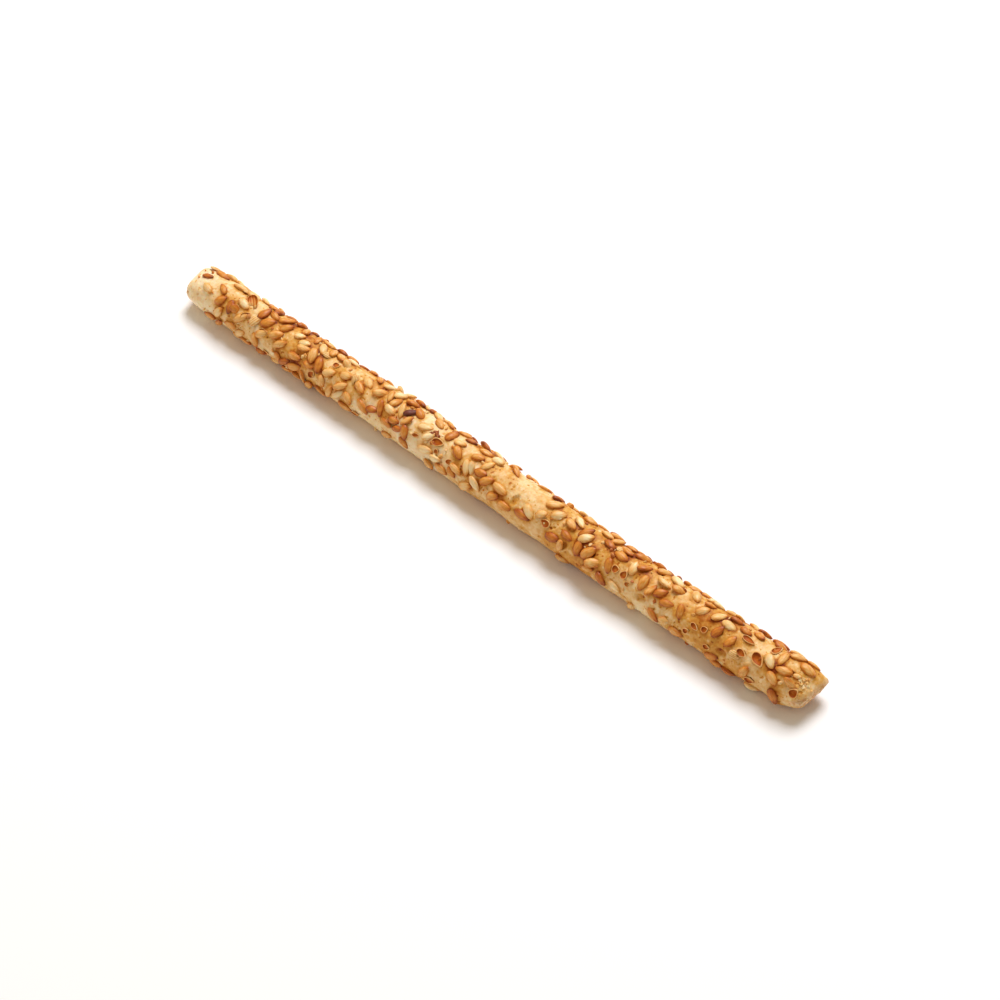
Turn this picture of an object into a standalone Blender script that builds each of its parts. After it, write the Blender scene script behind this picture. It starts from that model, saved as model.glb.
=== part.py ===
"""A sesame breadstick lying on a table: one crisp baked stick with its seeds fused to the crust.

The stick runs along X and rests on the flat that the baking belt left along its underside.
+X is the end nearer to the viewer, -Y the side that shows, and Z is up. Units are metres.
"""

import math
import random
from collections import namedtuple

import bmesh
import bpy
from mathutils import Matrix, Vector

MM = 0.001

# The baked stick.
STICK_LENGTH = 160.8 * MM
STICK_THICKNESS = 8.8 * MM
BELT_FLAT_DEPTH = 0.5 * MM  # how much the belt flattened the round dough

# Each end was chopped from a long strand, and the chopper pinched it to a blunt chisel. An end has
# the length of its pinch, the width and thickness of its edge, how far that edge lies below the
# stick's middle, how much further along +X the cut's back stands than its front, and how much is
# rounded off the cut's corner at the front and at the back.
End = namedtuple(
    "End", "pinch edge_width edge_thickness edge_drop cut_slant front_corner back_corner"
)
FAR_END = End(5.6 * MM, 8.0 * MM, 2.4 * MM, -0.1 * MM, -1.1 * MM, 0.5 * MM, 1.5 * MM)
NEAR_END = End(7.5 * MM, 8.7 * MM, 1.3 * MM, 0.0 * MM, 0.8 * MM, 1.9 * MM, 0.55 * MM)
CORNER_SHARPNESS = 5  # exponent of the rounded corner, seen from above: more is sharper
# The chopper squeezed a little dough out beside the near end: distance along, angle around in
# degrees, radius and height.
SQUEEZED_DOUGH = (75.5 * MM, 118, 2.4 * MM, 0.8 * MM)
PINCH_FULLNESS = 1.6  # exponent of the taper's outline: 1 is a straight wedge, 2 is round
EDGE_SQUARENESS = 3.4  # exponent of the end's outline: 2 is an ellipse, more is boxier

# The strand is not quite straight, and not quite even.
BOW = 1.53 * MM
WOBBLE = 0.65 * MM
WOBBLE_WAVES = 1.0
WOBBLE_START = -1.04
MIDDLE_SHIFT = (0.02 * MM, 1.03 * MM)  # brings the middle of the whole outline over the origin
SWELLS = ((1, 0.02, 0.5), (2, 0.012, 2.36))  # waves in the length, share of the radius, start
LUMP = 0.016  # share of the radius that the short lumps add and take away

# A toasted sesame seed.
SEED_LENGTH = 3.25 * MM
SEED_WIDTH = 1.95 * MM
SEED_THICKNESS = 1.1 * MM
SEED_TAPER = 0.9  # how fast it narrows towards its point
SEED_TAPER_START = -0.1  # where that starts, in lengths from its middle
SEED_ROOT = 0.8 * MM  # how far it reaches down into the crust
SEED_SIDES = 6
SEED_RINGS = 3

# How one seed differs from the next. Angles are spreads about the mean, in degrees.
SEED_SIZES = (0.86, 1.1)
SEED_RISE = (0.08 * MM, 0.3 * MM)  # how far its middle lies above the crust
HEADING_MEAN_DEG = 12  # from straight along the stick, turned towards the far side
HEADING_SPREAD_DEG = 42
TILT_SPREAD_DEG = 7
ROLL_SPREAD_DEG = 13

# How the seeds were scattered.
SCATTER_SEED = 11
SCATTER_TRIES = 9000
SEED_GAP = 1.66 * MM  # the least distance between the middle lines of two seeds
FAR_BARE_LENGTH, NEAR_BARE_LENGTH = 6.0 * MM, 2.2 * MM
SEEDED_COVER = 1.0
PALE_COVER = 0.035  # on the other side, from PALE_REACH outwards, and ever less towards the middle
PALE_REACH = 45 * MM
COVER_FADE_DEG = 16.0
FLOOR_CLEARANCE = 0.25 * MM

# The seeded side starts at the back at one angle. At the side that shows, the angle to which it
# reaches changes: distance along, angle around in degrees, 0 straight up and 90 to the viewer.
SEEDED_START_DEG = -96.0
SEEDED_LIMITS = (
    (-81 * MM, 114), (-46 * MM, 116), (-37 * MM, 84), (-30 * MM, 60), (-20 * MM, 50), (-10 * MM, 60),
    (0 * MM, 78), (6 * MM, 68), (11 * MM, 34), (20 * MM, 50), (36 * MM, 46), (52 * MM, 34),
    (66 * MM, 30), (81 * MM, 46),
)

# Stretches that the seeds missed: distance along, angle around in degrees, and radius.
BARE_PATCHES = (
    (-72.4 * MM, -12, 2.2 * MM), (-73 * MM, 58, 2.4 * MM), (-68 * MM, 0, 2 * MM),
    (-67 * MM, 62, 1.7 * MM), (-62.5 * MM, -7, 2.6 * MM), (-60.3 * MM, 26, 1.8 * MM),
    (-61.2 * MM, 62, 2.6 * MM),
    (-55.7 * MM, 58, 1.8 * MM), (-42.4 * MM, 88, 2.4 * MM), (-33 * MM, -16, 2.4 * MM),
    (-29.4 * MM, 24, 1.8 * MM), (-15.2 * MM, -14, 2.2 * MM), (-3 * MM, -12, 2 * MM),
    (4.5 * MM, 0, 2.8 * MM), (9.5 * MM, 0, 3.4 * MM), (14 * MM, 4, 3.4 * MM), (10.8 * MM, 40, 2 * MM),
    (21 * MM, -24, 1.8 * MM), (27.6 * MM, -24, 2.2 * MM), (31 * MM, 16, 1.8 * MM),
    (42.6 * MM, -4, 2.2 * MM), (50.3 * MM, 10, 2 * MM), (57 * MM, 22, 1.8 * MM),
    (68.8 * MM, -14, 2 * MM), (70.6 * MM, 52, 2 * MM), (79 * MM, -30, 2.6 * MM), (79 * MM, 15, 3 * MM),
)

# Where empty husks are left in the crust, which seeds keep clear of: along, and around in degrees.
HUSKS = (
    (-55.7 * MM, 98), (-43 * MM, 67), (-39 * MM, 9), (-15.2 * MM, 44), (-10.2 * MM, 28),
    (-9.5 * MM, 49), (18.5 * MM, 42), (35.9 * MM, 37), (37.9 * MM, 37), (54 * MM, 67), (55.2 * MM, 47),
    (57.2 * MM, 40), (58.9 * MM, 76), (65.3 * MM, 4), (65.6 * MM, 40), (70.6 * MM, -13),
    (68.9 * MM, 32), (69 * MM, 92), (78.4 * MM, 58),
)

# Seeds that lie alone on the bare crust, or mark an end: distance along, angle around and heading in
# degrees, size. The others are scattered around them.
SEEN_SEEDS = (
    (-76.3 * MM, 0, 15, 0.78), (-73.4 * MM, -58, 178, 1.12), (-71.1 * MM, 8, 150, 0.85),
    (-74.2 * MM, 30, -18, 0.85), (-69.9 * MM, 37, 48, 0.95), (-67.1 * MM, 38, -80, 0.95),
    (-72 * MM, 102, -174, 1), (-65.9 * MM, 84, -165, 1), (-57.7 * MM, 16, 41, 1.05),
    (-17.7 * MM, 54, -63, 1), (-12 * MM, 62, 15, 1.05), (-7.2 * MM, 84, -12, 1),
    (-2 * MM, 40, -60, 1), (3.3 * MM, 38, 38, 1), (5.8 * MM, 62, 33, 0.9), (9 * MM, 66, 0, 1),
    (14.3 * MM, 42, -33, 1), (13.3 * MM, 58, 0, 1.1), (27 * MM, 48, -80, 0.95),
    (27.3 * MM, 16, 46, 1.05), (33.8 * MM, 82, -39, 1), (34.3 * MM, 40, -66, 0.95),
    (42 * MM, 28, -90, 1), (46.6 * MM, 84, -38, 0.95), (52 * MM, 90, 5, 1.05),
    (60.3 * MM, 96, 29, 1.05), (67.6 * MM, 76, 69, 0.95), (71 * MM, 20, -39, 0.98),
    (72.7 * MM, -1, -89, 0.98), (73.1 * MM, 51, -31, 0.9), (74.2 * MM, 22, -167, 0.98),
    (74.4 * MM, -37, 45, 1.08), (75.3 * MM, 92, -54, 1.05), (76.6 * MM, 13, 28, 0.55),
    (77.1 * MM, -27, 13, 1.08), (77 * MM, -58, 10, 0.85),
)
SEEN_SEED_RISE = 0.2 * MM

# How finely the solid is cut into faces.
STICK_SIDES = 16
STICK_STATIONS = 36
END_STATIONS = 5

CRUST_COLOUR = (0.78, 0.49, 0.18, 1.0)
CRUST_ROUGHNESS = 0.6


def eased(share):
    """0 to 1, starting and stopping gently."""
    share = min(1.0, max(0.0, share))
    return share * share * (3 - 2 * share)


def mixed(start, end, share):
    return start + (end - start) * share


def end_share_at(along):
    """0 at the nearer cut, 1 where the pinched end has become the round stick, with that end."""
    end = FAR_END if along < 0 else NEAR_END
    share = (STICK_LENGTH / 2 - abs(along)) / end.pinch
    return min(1.0, max(0.0, share)), end


def section_at(along):
    """Half width, half height and squareness of the stick's outline at this distance along it."""
    radius = STICK_THICKNESS / 2
    share, end = end_share_at(along)
    round_share = (1 - (1 - share) ** PINCH_FULLNESS) ** (1 / PINCH_FULLNESS)
    half_width = mixed(end.edge_width / 2, radius, eased(share))
    half_height = mixed(end.edge_thickness / 2, radius, round_share)
    squareness = mixed(EDGE_SQUARENESS, 2.0, round_share)
    return half_width, half_height, squareness


def unevenness(along, around):
    """The share of the radius that the swellings and lumps add here."""
    turn = 2 * math.pi * along / STICK_LENGTH
    slow = sum(share * math.sin(waves * turn + start) for waves, share, start in SWELLS)
    short = (
        math.sin(9.1 * turn + 2 * around)
        + math.sin(13.7 * turn - 3 * around + 1.7)
        + math.sin(6.3 * turn + 3 * around + 4.1)
    ) / 2
    return slow + LUMP * short


def squeezed_out(along, around):
    """How far the squeezed dough stands out here."""
    centre, centre_deg, radius, height = SQUEEZED_DOUGH
    turn = (around - math.radians(centre_deg) + math.pi) % (2 * math.pi) - math.pi
    away = math.hypot(along - centre, turn * STICK_THICKNESS / 2) / radius
    return height * math.exp(-away * away)


def axis_offset(along):
    """How far the stick's middle line has strayed sideways here."""
    share = along / STICK_LENGTH
    wave = math.sin(2 * math.pi * WOBBLE_WAVES * share + WOBBLE_START)
    return MIDDLE_SHIFT[1] - BOW * math.cos(math.pi * share) - WOBBLE * wave


def surface_point(along, around):
    """The point on the crust at this distance along and angle around, 0 up and 90 degrees to the viewer."""
    half_width, half_height, squareness = section_at(along)
    side, up = -math.sin(around), math.cos(around)
    reach = (
        abs(side / half_width) ** squareness + abs(up / half_height) ** squareness
    ) ** (-1 / squareness)
    reach *= 1 + unevenness(along, around)
    reach += squeezed_out(along, around)
    share, end = end_share_at(along)
    pinched = eased(1 - share)
    middle_height = STICK_THICKNESS / 2 - BELT_FLAT_DEPTH - end.edge_drop * pinched
    across = reach * side / half_width
    corner = math.copysign(end.back_corner if side > 0 else end.front_corner, along)
    lean = end.cut_slant / 2 * across - corner * abs(across) ** CORNER_SHARPNESS
    return Vector((
        along + MIDDLE_SHIFT[0] + lean * pinched,
        axis_offset(along) + reach * side,
        max(0.0, middle_height + reach * up),
    ))


def surface_frame(along, around):
    """The point on the crust with the directions along it, across it and out of it."""
    step = 0.2 * MM
    turn = math.radians(2)
    point = surface_point(along, around)
    ahead = surface_point(along + step, around) - surface_point(along - step, around)
    across = surface_point(along, around + turn) - surface_point(along, around - turn)
    outward = across.cross(ahead).normalized()
    ahead.normalize()
    return point, ahead, outward.cross(ahead), outward


def seeded_limit(along):
    """The angle in degrees to which the seeds reach here, on the side that shows."""
    for (start, start_deg), (end, end_deg) in zip(SEEDED_LIMITS, SEEDED_LIMITS[1:]):
        if along <= end:
            return mixed(start_deg, end_deg, (along - start) / (end - start))
    return SEEDED_LIMITS[-1][1]


def cover_at(along, around_deg):
    """The chance from 0 to 1 that a seed which falls here sticks."""
    away = max(around_deg - seeded_limit(along), SEEDED_START_DEG - around_deg)
    fade = eased(away / COVER_FADE_DEG)
    pale_cover = PALE_COVER * min(1.0, (along / PALE_REACH) ** 2)
    cover = mixed(SEEDED_COVER, pale_cover, fade)
    for patch_along, patch_around, patch_radius in BARE_PATCHES:
        across = math.radians(around_deg - patch_around) * STICK_THICKNESS / 2
        if math.hypot(along - patch_along, across) < patch_radius:
            cover = 0.0
    return cover


def seed_matrix(along, around, heading, rise, tilt, roll, size):
    """Where a seed lies: its length along its own X, its flat side facing out of the crust."""
    point, ahead, across, outward = surface_frame(along, around)
    lie = Matrix((ahead, across, outward)).transposed().to_4x4()
    lie.translation = point + outward * rise
    turned = Matrix.Rotation(heading, 4, "Z") @ Matrix.Rotation(tilt, 4, "Y") @ Matrix.Rotation(roll, 4, "X")
    return lie @ turned @ Matrix.Scale(size, 4)


def middle_line(matrix):
    """Three points along a seed's length, by which its distance to others is judged."""
    return [matrix @ Vector((SEED_LENGTH * share, 0, 0)) for share in (-0.28, 0.0, 0.28)]


def clear_of(line, others):
    return all((a - b).length > SEED_GAP for other in others for a in line for b in other)


def husk_lines():
    """The middle lines of the husks, as if each were a seed that lies straight along the stick."""
    return [
        middle_line(seed_matrix(along, math.radians(around_deg), 0, 0, 0, 0, 1))
        for along, around_deg in HUSKS
    ]


def scattered_seeds():
    """One matrix for each seed on the crust: the seen ones, and the rest in the order they fell."""
    matrices = [
        seed_matrix(along, math.radians(turn), math.radians(heading), SEEN_SEED_RISE, 0, 0, size)
        for along, turn, heading, size in SEEN_SEEDS
    ]
    lines = husk_lines() + [middle_line(matrix) for matrix in matrices]
    draw = random.Random(SCATTER_SEED)
    for _ in range(SCATTER_TRIES):
        along = draw.uniform(
            FAR_BARE_LENGTH - STICK_LENGTH / 2, STICK_LENGTH / 2 - NEAR_BARE_LENGTH
        )
        around_deg = draw.uniform(-180, 180)
        stuck = draw.random() < cover_at(along, around_deg)
        heading = math.radians(draw.gauss(HEADING_MEAN_DEG, HEADING_SPREAD_DEG))
        tilt = math.radians(draw.gauss(0, TILT_SPREAD_DEG))
        roll = math.radians(draw.gauss(0, ROLL_SPREAD_DEG))
        rise = draw.uniform(*SEED_RISE)
        size = draw.uniform(*SEED_SIZES)
        if not stuck:
            continue
        matrix = seed_matrix(along, math.radians(around_deg), heading, rise, tilt, roll, size)
        line = middle_line(matrix)
        lowest = min(point.z for point in line) - SEED_WIDTH / 2
        if lowest > FLOOR_CLEARANCE and clear_of(line, lines):
            matrices.append(matrix)
            lines.append(line)
    return matrices


def ring_places():
    """Distances along the stick of the rings of corners, ever closer together towards the cuts."""
    start, end = FAR_END.pinch - STICK_LENGTH / 2, STICK_LENGTH / 2 - NEAR_END.pinch
    middle = [mixed(start, end, step / STICK_STATIONS) for step in range(STICK_STATIONS + 1)]
    shares = [(step / END_STATIONS) ** 1.5 for step in range(END_STATIONS)]
    far = [FAR_END.pinch * share - STICK_LENGTH / 2 for share in shares]
    near = [STICK_LENGTH / 2 - NEAR_END.pinch * share for share in shares]
    return far + middle + near[::-1]


def build_stick(name):
    """The bare stick: rings of corners bridged one to the next, closed by a cut face at each end."""
    shape = bmesh.new()
    rings = []
    for along in ring_places():
        circle = bmesh.ops.create_circle(shape, cap_ends=False, radius=1, segments=STICK_SIDES)
        for number, corner in enumerate(circle["verts"]):
            corner.co = surface_point(along, 2 * math.pi * number / STICK_SIDES)
        rings.append([edge for edge in {e for corner in circle["verts"] for e in corner.link_edges}])
    for this_ring, next_ring in zip(rings, rings[1:]):
        bmesh.ops.bridge_loops(shape, edges=this_ring + next_ring)
    for ring in (rings[0], rings[-1]):
        bmesh.ops.contextual_create(shape, geom=ring)
    bmesh.ops.recalc_face_normals(shape, faces=shape.faces)
    return linked(name, shape)


def seed_shape():
    """One seed, a flattened drop: full and round at one end, drawn to a blunt point at the other.

    Its lower half is stretched down, so that the crust it sits on always reaches up to its rim.
    """
    shape = bmesh.new()
    bmesh.ops.create_uvsphere(shape, u_segments=SEED_SIDES, v_segments=SEED_RINGS, radius=0.5)
    for corner in shape.verts:
        x, y, z = corner.co
        width = SEED_WIDTH * (1 - SEED_TAPER * max(0.0, x - SEED_TAPER_START))
        height = SEED_THICKNESS if z > 0 else 2 * SEED_ROOT
        corner.co = Vector((x * SEED_LENGTH, y * width, z * height))
    return shape


def linked(name, shape):
    """The finished bmesh as an object in the scene."""
    mesh = bpy.data.meshes.new(name)
    shape.to_mesh(mesh)
    shape.free()
    built = bpy.data.objects.new(name, mesh)
    bpy.context.scene.collection.objects.link(built)
    return built


def build_seeds(matrices):
    """The scattered seeds, each an object in one collection, ready to be joined to the stick."""
    gathered = bpy.data.collections.new("seeds")
    bpy.context.scene.collection.children.link(gathered)
    mesh = bpy.data.meshes.new("seed")
    shape = seed_shape()
    shape.to_mesh(mesh)
    shape.free()
    for matrix in matrices:
        seed = bpy.data.objects.new("seed", mesh)
        seed.matrix_world = matrix
        gathered.objects.link(seed)
    return gathered


def join_seeds(stick, gathered):
    """Fuses the seeds to the stick and removes their objects."""
    union = stick.modifiers.new("seeds", "BOOLEAN")
    union.operation = "UNION"
    union.solver = "EXACT"
    union.operand_type = "COLLECTION"
    union.collection = gathered
    bpy.context.view_layer.objects.active = stick
    stick.select_set(True)
    bpy.ops.object.modifier_apply(modifier=union.name)
    for seed in list(gathered.objects):
        bpy.data.objects.remove(seed)
    bpy.data.collections.remove(gathered)


def pieces_of(shape):
    """The separate closed surfaces in a bmesh, as lists of corners."""
    left, found = set(shape.verts), []
    while left:
        piece, edge = [], [left.pop()]
        while edge:
            corner = edge.pop()
            piece.append(corner)
            near = {e.other_vert(corner) for e in corner.link_edges} & left
            left -= near
            edge.extend(near)
        found.append(piece)
    return found


def keep_largest_piece(stick):
    """Drops loose scraps and the walls of sealed hollows, which then fill."""
    shape = bmesh.new()
    shape.from_mesh(stick.data)
    for piece in sorted(pieces_of(shape), key=len)[:-1]:
        bmesh.ops.delete(shape, geom=piece, context="VERTS")
    shape.to_mesh(stick.data)
    shape.free()


def crust_material():
    material = bpy.data.materials.new("baked crust")
    material.use_nodes = True
    shader = material.node_tree.nodes["Principled BSDF"]
    shader.inputs["Base Color"].default_value = CRUST_COLOUR
    shader.inputs["Roughness"].default_value = CRUST_ROUGHNESS
    shader.inputs["Metallic"].default_value = 0.0
    return material


def main():
    for old in list(bpy.data.objects):
        bpy.data.objects.remove(old)
    stick = build_stick("breadstick")
    matrices = scattered_seeds()
    join_seeds(stick, build_seeds(matrices))
    keep_largest_piece(stick)
    stick.data.materials.clear()
    stick.data.materials.append(crust_material())
    stick.data.shade_smooth()
    stick.data.set_sharp_from_angle(angle=math.radians(40))
    print(len(matrices), "seeds")


main()
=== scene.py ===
# %% [markdown]
# # A sesame breadstick
#
# A long strand of bread dough was rolled thin, wetted, rolled in sesame seeds, chopped to length and
# baked until it was crisp all the way through. The plain solid of such a stick is already there. This
# lesson gives it its looks: first the bread with its crust, then the seeds that stuck to it, whole
# and broken, then the colours that the oven gave them, and at the end a floor, lights and a camera.
#
# Everything is in metres, with X along the stick, -Y towards the side that shows, and Z up.

# %% Load the plain solid
import math
import random
from collections import namedtuple

import bmesh
import bpy
from mathutils import Matrix, Vector, kdtree, noise


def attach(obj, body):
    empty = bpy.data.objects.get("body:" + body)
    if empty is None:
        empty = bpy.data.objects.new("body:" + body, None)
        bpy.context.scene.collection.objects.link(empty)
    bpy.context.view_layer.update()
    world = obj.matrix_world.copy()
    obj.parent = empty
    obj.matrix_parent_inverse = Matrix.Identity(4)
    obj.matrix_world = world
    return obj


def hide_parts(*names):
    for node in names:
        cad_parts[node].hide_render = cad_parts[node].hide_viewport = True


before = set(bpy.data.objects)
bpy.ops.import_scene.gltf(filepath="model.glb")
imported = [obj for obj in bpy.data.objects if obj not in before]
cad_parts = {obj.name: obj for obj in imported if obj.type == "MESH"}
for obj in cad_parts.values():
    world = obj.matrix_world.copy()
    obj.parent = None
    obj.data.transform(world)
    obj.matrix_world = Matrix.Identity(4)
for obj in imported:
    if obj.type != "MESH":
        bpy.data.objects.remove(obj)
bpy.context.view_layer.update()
MM = 0.001

# %% [markdown]
# ## The form of the bread
#
# The stick is a strand of dough about nine millimetres thick. A belt carried it through the oven and
# left its underside a little flat. The chopper pinched both ends to a blunt chisel, and because no
# strand is rolled quite evenly, it swells and thins by a few tenths of a millimetre, and bends.
#
# A form like this can be sculpted, but then nobody can say how thick it is. Here it is a rule: give
# the rule a distance along the stick and an angle around it, and it returns the point on the crust.
# The plain solid follows the same rule, so the two fit each other everywhere.

# %% Sizes of the bread
STICK_LENGTH = 160.8 * MM
STICK_THICKNESS = 8.8 * MM
BELT_FLAT_DEPTH = 0.5 * MM
# An end has the length of its pinch, the width and thickness of its edge, how far that edge lies
# below the stick's middle, how much further along +X the cut's back stands than its front, and how
# much is rounded off the cut's corner at the front and at the back.
End = namedtuple(
    "End", "pinch edge_width edge_thickness edge_drop cut_slant front_corner back_corner"
)
FAR_END = End(5.6 * MM, 8.0 * MM, 2.4 * MM, -0.1 * MM, -1.1 * MM, 0.5 * MM, 1.5 * MM)
NEAR_END = End(7.5 * MM, 8.7 * MM, 1.3 * MM, 0.0 * MM, 0.8 * MM, 1.9 * MM, 0.55 * MM)
CORNER_SHARPNESS = 5
PINCH_FULLNESS = 1.6  # 1 would be a straight wedge, 2 a round nose
EDGE_SQUARENESS = 3.4  # 2 would be an ellipse
print("the pinches are", [round(end.pinch / MM, 1) for end in (FAR_END, NEAR_END)], "mm long")


# %% The outline of a slice
def eased(share):
    """0 to 1, starting and stopping gently."""
    share = min(1.0, max(0.0, share))
    return share * share * (3 - 2 * share)


def mixed(start, end, share):
    return start + (end - start) * share


def end_share_at(along):
    """0 at the nearer cut, 1 where the pinched end has become the round stick, with that end."""
    end = FAR_END if along < 0 else NEAR_END
    share = (STICK_LENGTH / 2 - abs(along)) / end.pinch
    return min(1.0, max(0.0, share)), end


def section_at(along):
    """Half width, half height and squareness of the outline at this distance along the stick."""
    radius = STICK_THICKNESS / 2
    share, end = end_share_at(along)
    round_share = (1 - (1 - share) ** PINCH_FULLNESS) ** (1 / PINCH_FULLNESS)
    half_width = mixed(end.edge_width / 2, radius, eased(share))
    half_height = mixed(end.edge_thickness / 2, radius, round_share)
    return half_width, half_height, mixed(EDGE_SQUARENESS, 2.0, round_share)


print("thickest:", round(max(section_at(x * MM)[0] for x in range(-80, 81)) * 2 / MM, 2), "mm")

# %% [markdown]
# Hands and rollers leave three kinds of unevenness: slow swellings along the strand, lumps of about a
# centimetre, and a bend. A lump here is where three long waves, which run along and around the stick
# at different slants, meet. A few waves are enough, and unlike sculpted lumps they can be measured.

# %% Swellings, lumps and the bend
# Number of waves along the stick, height as a share of the radius, and where the wave starts.
SWELLS = ((1, 0.02, 0.5), (2, 0.012, 2.36))
# Number of waves along the stick and around it, and where the wave starts.
LUMP_WAVES = ((9.1, 2, 0.0), (13.7, -3, 1.7), (6.3, 3, 4.1))
LUMP = 0.016  # height of a lump as a share of the radius
# The chopper squeezed a little dough out beside the near end: distance along, angle around in
# degrees, radius and height.
SQUEEZED_DOUGH = (75.5 * MM, 118, 2.4 * MM, 0.8 * MM)
BOW = 1.53 * MM
WOBBLE, WOBBLE_WAVES, WOBBLE_START = 0.65 * MM, 1.0, -1.04
MIDDLE_SHIFT = (0.02 * MM, 1.03 * MM)  # puts the middle of the seeded stick at the origin


def unevenness(along, around):
    """The share of the radius that swellings and lumps add here."""
    turn = 2 * math.pi * along / STICK_LENGTH
    slow = sum(share * math.sin(waves * turn + start) for waves, share, start in SWELLS)
    short = sum(
        math.sin(waves * turn + turns * around + start) for waves, turns, start in LUMP_WAVES
    ) / 2
    return slow + LUMP * short


def squeezed_out(along, around):
    """How far the squeezed dough stands out here."""
    centre, centre_deg, radius, height = SQUEEZED_DOUGH
    turn = (around - math.radians(centre_deg) + math.pi) % (2 * math.pi) - math.pi
    away = math.hypot(along - centre, turn * STICK_THICKNESS / 2) / radius
    return height * math.exp(-away * away)


def axis_offset(along):
    """How far the middle of the stick has strayed sideways here."""
    share = along / STICK_LENGTH
    wave = math.sin(2 * math.pi * WOBBLE_WAVES * share + WOBBLE_START)
    return MIDDLE_SHIFT[1] - BOW * math.cos(math.pi * share) - WOBBLE * wave


print("the stick's middle lies at Y", round(axis_offset(0) / MM, 2), "mm")


# %% The point on the crust
def crust_point(along, around, raised=0.0, inward=1.0):
    """The crust's point here; around is 0 on top and 90 degrees at the viewer's side."""
    half_width, half_height, squareness = section_at(along)
    side, up = -math.sin(around), math.cos(around)
    reach = (
        abs(side / half_width) ** squareness + abs(up / half_height) ** squareness
    ) ** (-1 / squareness)
    reach *= 1 + unevenness(along, around)
    reach += squeezed_out(along, around)
    share, end = end_share_at(along)
    pinched = eased(1 - share)
    middle_height = STICK_THICKNESS / 2 - BELT_FLAT_DEPTH - end.edge_drop * pinched
    across = inward * reach * side / half_width
    corner = math.copysign(end.back_corner if side > 0 else end.front_corner, along)
    lean = end.cut_slant / 2 * across - corner * abs(across) ** CORNER_SHARPNESS
    reach = (reach + raised) * inward
    return Vector((
        along + MIDDLE_SHIFT[0] + lean * pinched,
        axis_offset(along) + reach * side,
        max(0.0, middle_height + reach * up),
    ))


def crust_frame(along, around):
    """The crust's point here, and the directions along it, across it and out of it."""
    step, turn = 0.2 * MM, math.radians(2)
    ahead = crust_point(along + step, around) - crust_point(along - step, around)
    across = crust_point(along, around + turn) - crust_point(along, around - turn)
    outward = across.cross(ahead).normalized()
    ahead.normalize()
    return crust_point(along, around), ahead, outward.cross(ahead), outward


print("the top is", round(crust_point(0, 0).z / MM, 2), "mm above the belt")

# %% [markdown]
# ## Where the seeds fell
#
# The wet strand was rolled through seeds, so they sit where it touched them: thick over the top and
# the back, thinner down the side towards the viewer, none underneath, and with bare stretches where
# the dough had already dried. No two of them lie in the same place, and none lies on one of the empty
# husks that are still stuck in the crust.
#
# Scattering with a particle system would do this too, but particles are lost when the model is
# exported. A loop that lets seeds fall one by one, and keeps those that land on a free spot, gives the
# same look and real meshes. The random draw starts from a fixed number, so it never changes.

# %% Sizes of a seed, and how it lies
SEED_LENGTH = 3.25 * MM
SEED_WIDTH = 1.95 * MM
SEED_THICKNESS = 1.1 * MM
SEED_SIZES = (0.86, 1.1)
SEED_RISE = (0.08 * MM, 0.3 * MM)  # how far a seed's middle stands out of the crust
HEADING_MEAN_DEG = 12
HEADING_SPREAD_DEG = 42
TILT_SPREAD_DEG = 7
ROLL_SPREAD_DEG = 13
MIDDLE_LINE_REACH = 0.28 * SEED_LENGTH


def resting_place(along, around, heading, rise=0.0, tilt=0.0, roll=0.0, size=1.0):
    """Where a seed lies: its length along its own X, its flat side facing out of the crust."""
    point, ahead, across, outward = crust_frame(along, around)
    lie = Matrix((ahead, across, outward)).transposed().to_4x4()
    lie.translation = point + outward * rise
    turned = Matrix.Rotation(heading, 4, "Z") @ Matrix.Rotation(tilt, 4, "Y")
    return lie @ turned @ Matrix.Rotation(roll, 4, "X") @ Matrix.Scale(size, 4)


def seen_place(x, turn, heading, **lie):
    """The resting place at x mm along the stick, with the angle around and heading in degrees."""
    return resting_place(x * MM, math.radians(turn), math.radians(heading), **lie)


def middle_line(place):
    """Three points along a seed's length, by which its distance to others is judged."""
    return [place @ Vector((x, 0, 0)) for x in (-MIDDLE_LINE_REACH, 0.0, MIDDLE_LINE_REACH)]


print("a usual seed is", [round(s / MM, 2) for s in (SEED_LENGTH, SEED_WIDTH, SEED_THICKNESS)], "mm")

# %% [markdown]
# Some places are known from the real stick: how far the seeds reach down its side, the stretches that
# they missed, the empty husks, and the seeds that lie alone on bare crust or mark an end. They are
# listed one by one, because the eye goes to just these. The rest of the seeds can lie by chance.

# %% Where the seeded side ends, and the bare stretches
# The seeded side starts at the back at one angle. At the side that shows, the angle to which it
# reaches changes: distance along in mm, angle around in degrees.
SEEDED_START_DEG = -96.0
SEEDED_LIMITS = [(x * MM, turn) for x, turn in (
    (-81, 114), (-46, 116), (-37, 84), (-30, 60), (-20, 50), (-10, 60), (0, 78), (6, 68), (11, 34),
    (20, 50), (36, 46), (52, 34), (66, 30), (81, 46),
)]
# Stretches that the seeds missed: distance along in mm, angle around in degrees, and radius in mm.
BARE_PATCHES = [(x * MM, turn, radius * MM) for x, turn, radius in (
    (-72.4, -12, 2.2), (-73, 58, 2.4), (-68, 0, 2), (-67, 62, 1.7), (-62.5, -7, 2.6),
    (-60.3, 26, 1.8), (-61.2, 62, 2.6), (-55.7, 58, 1.8), (-42.4, 88, 2.4), (-33, -16, 2.4),
    (-29.4, 24, 1.8), (-15.2, -14, 2.2), (-3, -12, 2), (4.5, 0, 2.8), (9.5, 0, 3.4), (14, 4, 3.4),
    (10.8, 40, 2), (21, -24, 1.8), (27.6, -24, 2.2), (31, 16, 1.8), (42.6, -4, 2.2), (50.3, 10, 2),
    (57, 22, 1.8), (68.8, -14, 2), (70.6, 52, 2), (79, -30, 2.6), (79, 15, 3),
)]
print(len(BARE_PATCHES), "bare stretches")

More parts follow.
